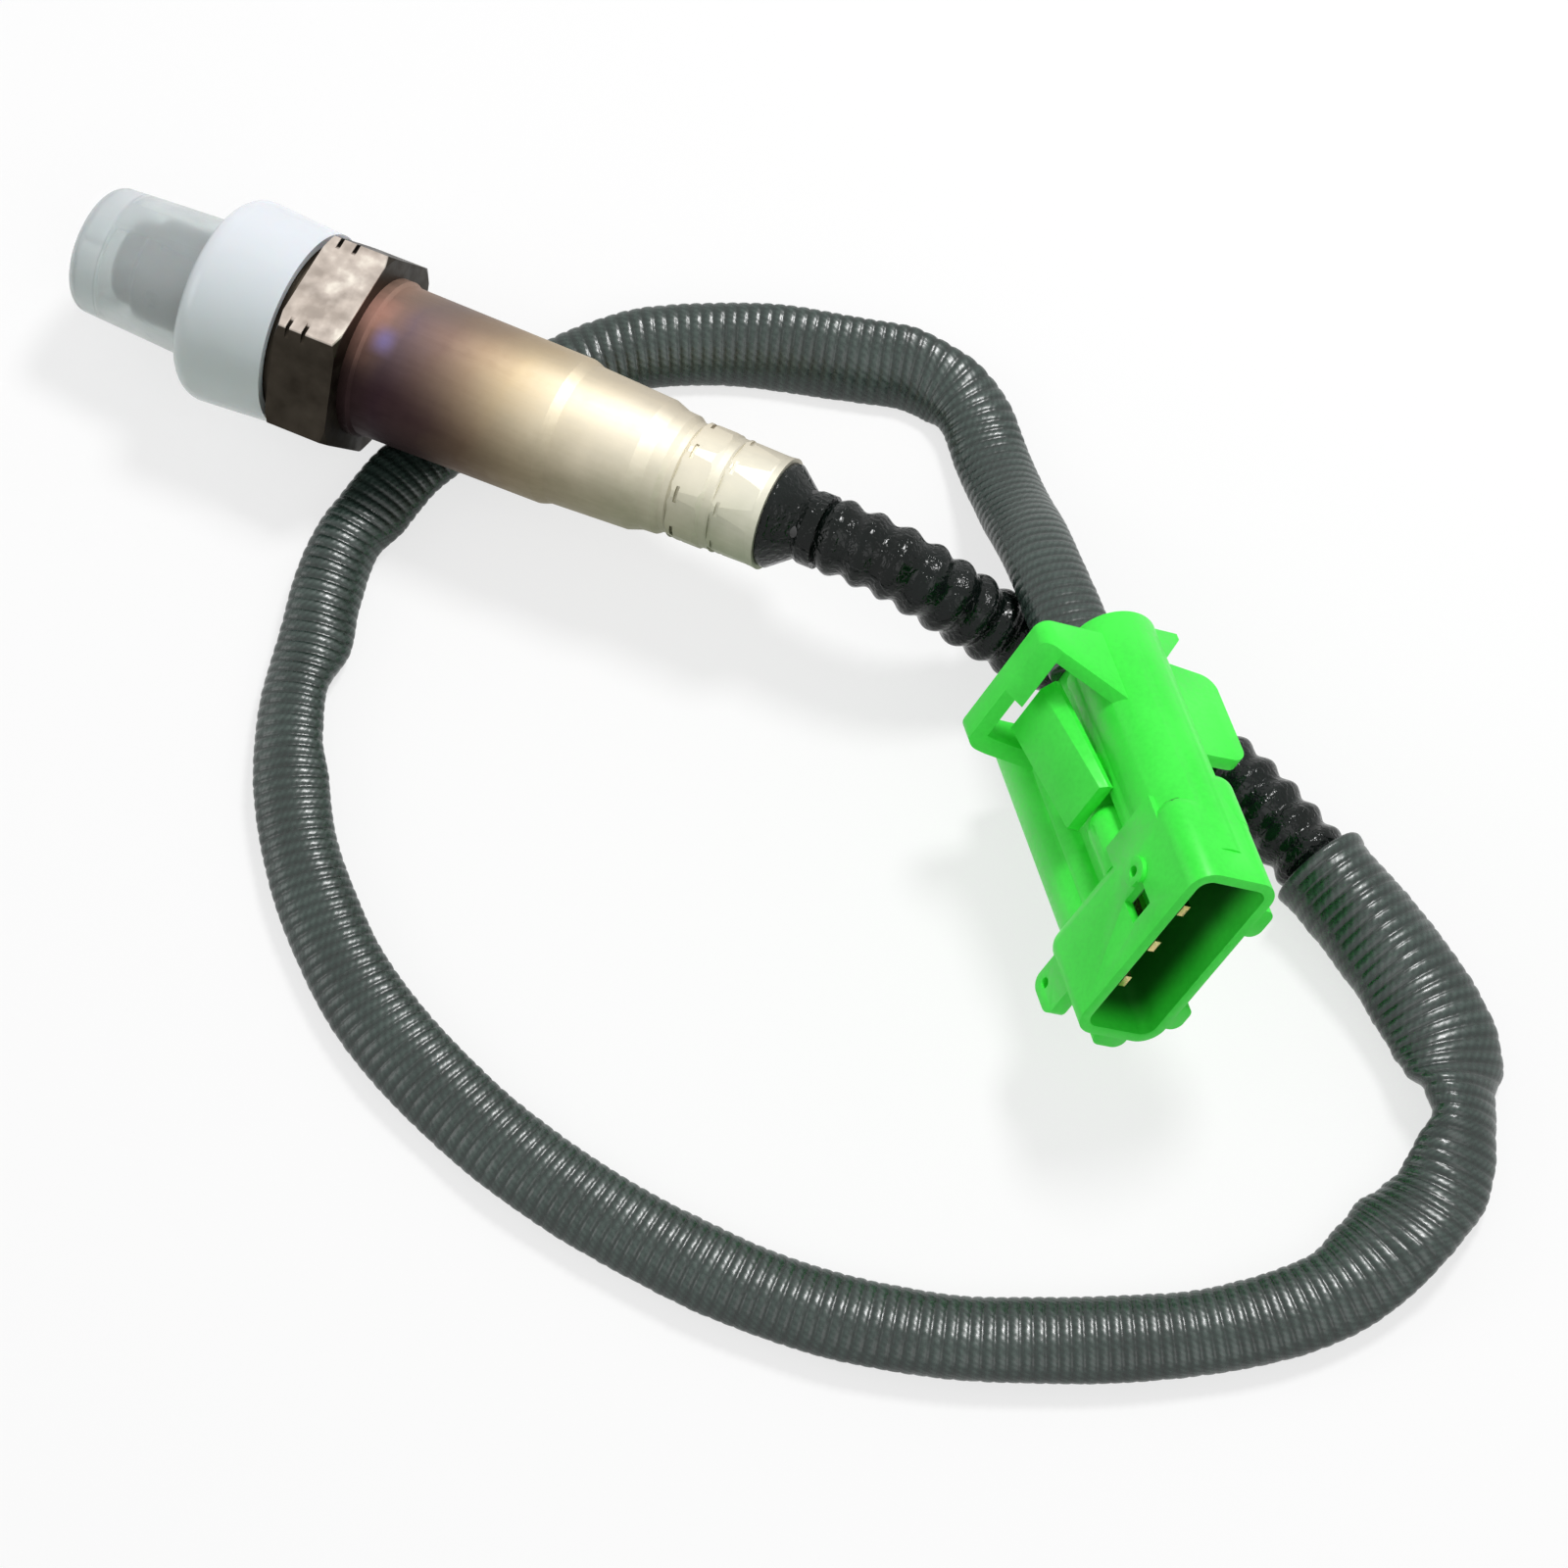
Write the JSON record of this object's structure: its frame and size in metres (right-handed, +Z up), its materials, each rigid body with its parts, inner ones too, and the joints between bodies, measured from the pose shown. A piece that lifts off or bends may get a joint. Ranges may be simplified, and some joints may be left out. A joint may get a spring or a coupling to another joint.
{
  "type": "oxygen sensor",
  "caption": "Exhaust oxygen sensor lying with its cap on: hexagon body, stepped heat-tinted steel sleeve, ribbed conduit and woven cable looped round it to a green latching plug.",
  "frame": {"origin": "On the surface the part lies on, under the middle of the sensor itself (cap to grommet).", "axes": "+X runs along the sensor from the capped probe to the cable end, +Y across it away from the picture's side, +Z up from the surface."},
  "size_m": [0.1858, 0.1164, 0.0367],
  "materials": {
    "cap_plastic": "milky translucent polyethylene",
    "housing_steel": "bare machined steel, dull",
    "tube_steel": "dark drawn steel",
    "sleeve_steel": "bright drawn steel with heat tint",
    "spring_steel": "bare spring steel",
    "ceramic": "dense white ceramic",
    "talc": "pressed powder",
    "grommet_rubber": "glossy black moulded rubber",
    "vent_membrane": "porous membrane",
    "contact_nickel": "nickel-plated strip",
    "wire_insulation": "insulated stranded wire",
    "conduit_plastic": "glossy black ribbed tube",
    "woven_fibre": "satin charcoal woven fibre",
    "green_plastic": "bright green moulded plastic",
    "pin_gold": "gold-plated blade",
    "seal_rubber": "soft silicone rubber"
  },
  "bodies": {
    "root": {"protective_cap": "cap_plastic", "sensor_housing": "housing_steel", "sealing_ring": "housing_steel", "outer_protection_tube": "tube_steel", "inner_protection_tube": "tube_steel", "protective_sleeve": "sleeve_steel", "spring_washer": "spring_steel", "holder_clamp_ring": "spring_steel", "lower_ceramic_support": "ceramic", "upper_ceramic_bush": "ceramic", "sensing_element": "ceramic", "contact_holder_top": "ceramic", "contact_holder_bottom": "ceramic", "talc_packing": "talc", "rubber_grommet": "grommet_rubber", "vent_filter": "vent_membrane", "contact_clip_1": "contact_nickel", "contact_clip_2": "contact_nickel", "contact_clip_3": "contact_nickel", "contact_clip_4": "contact_nickel", "sensor_wire_1": "wire_insulation", "sensor_wire_2": "wire_insulation", "sensor_wire_3": "wire_insulation", "sensor_wire_4": "wire_insulation", "plug_wire_1": "wire_insulation", "plug_wire_2": "wire_insulation", "plug_wire_3": "wire_insulation", "plug_wire_4": "wire_insulation", "corrugated_conduit": "conduit_plastic", "woven_sleeve": "woven_fibre", "plug_housing": "green_plastic", "seal_retainer": "green_plastic", "contact_pin_1": "pin_gold", "contact_pin_2": "pin_gold", "contact_pin_3": "pin_gold", "contact_pin_4": "pin_gold", "wire_seal_1": "seal_rubber", "wire_seal_2": "seal_rubber", "wire_seal_3": "seal_rubber", "wire_seal_4": "seal_rubber"}
  },
  "joints": []
}
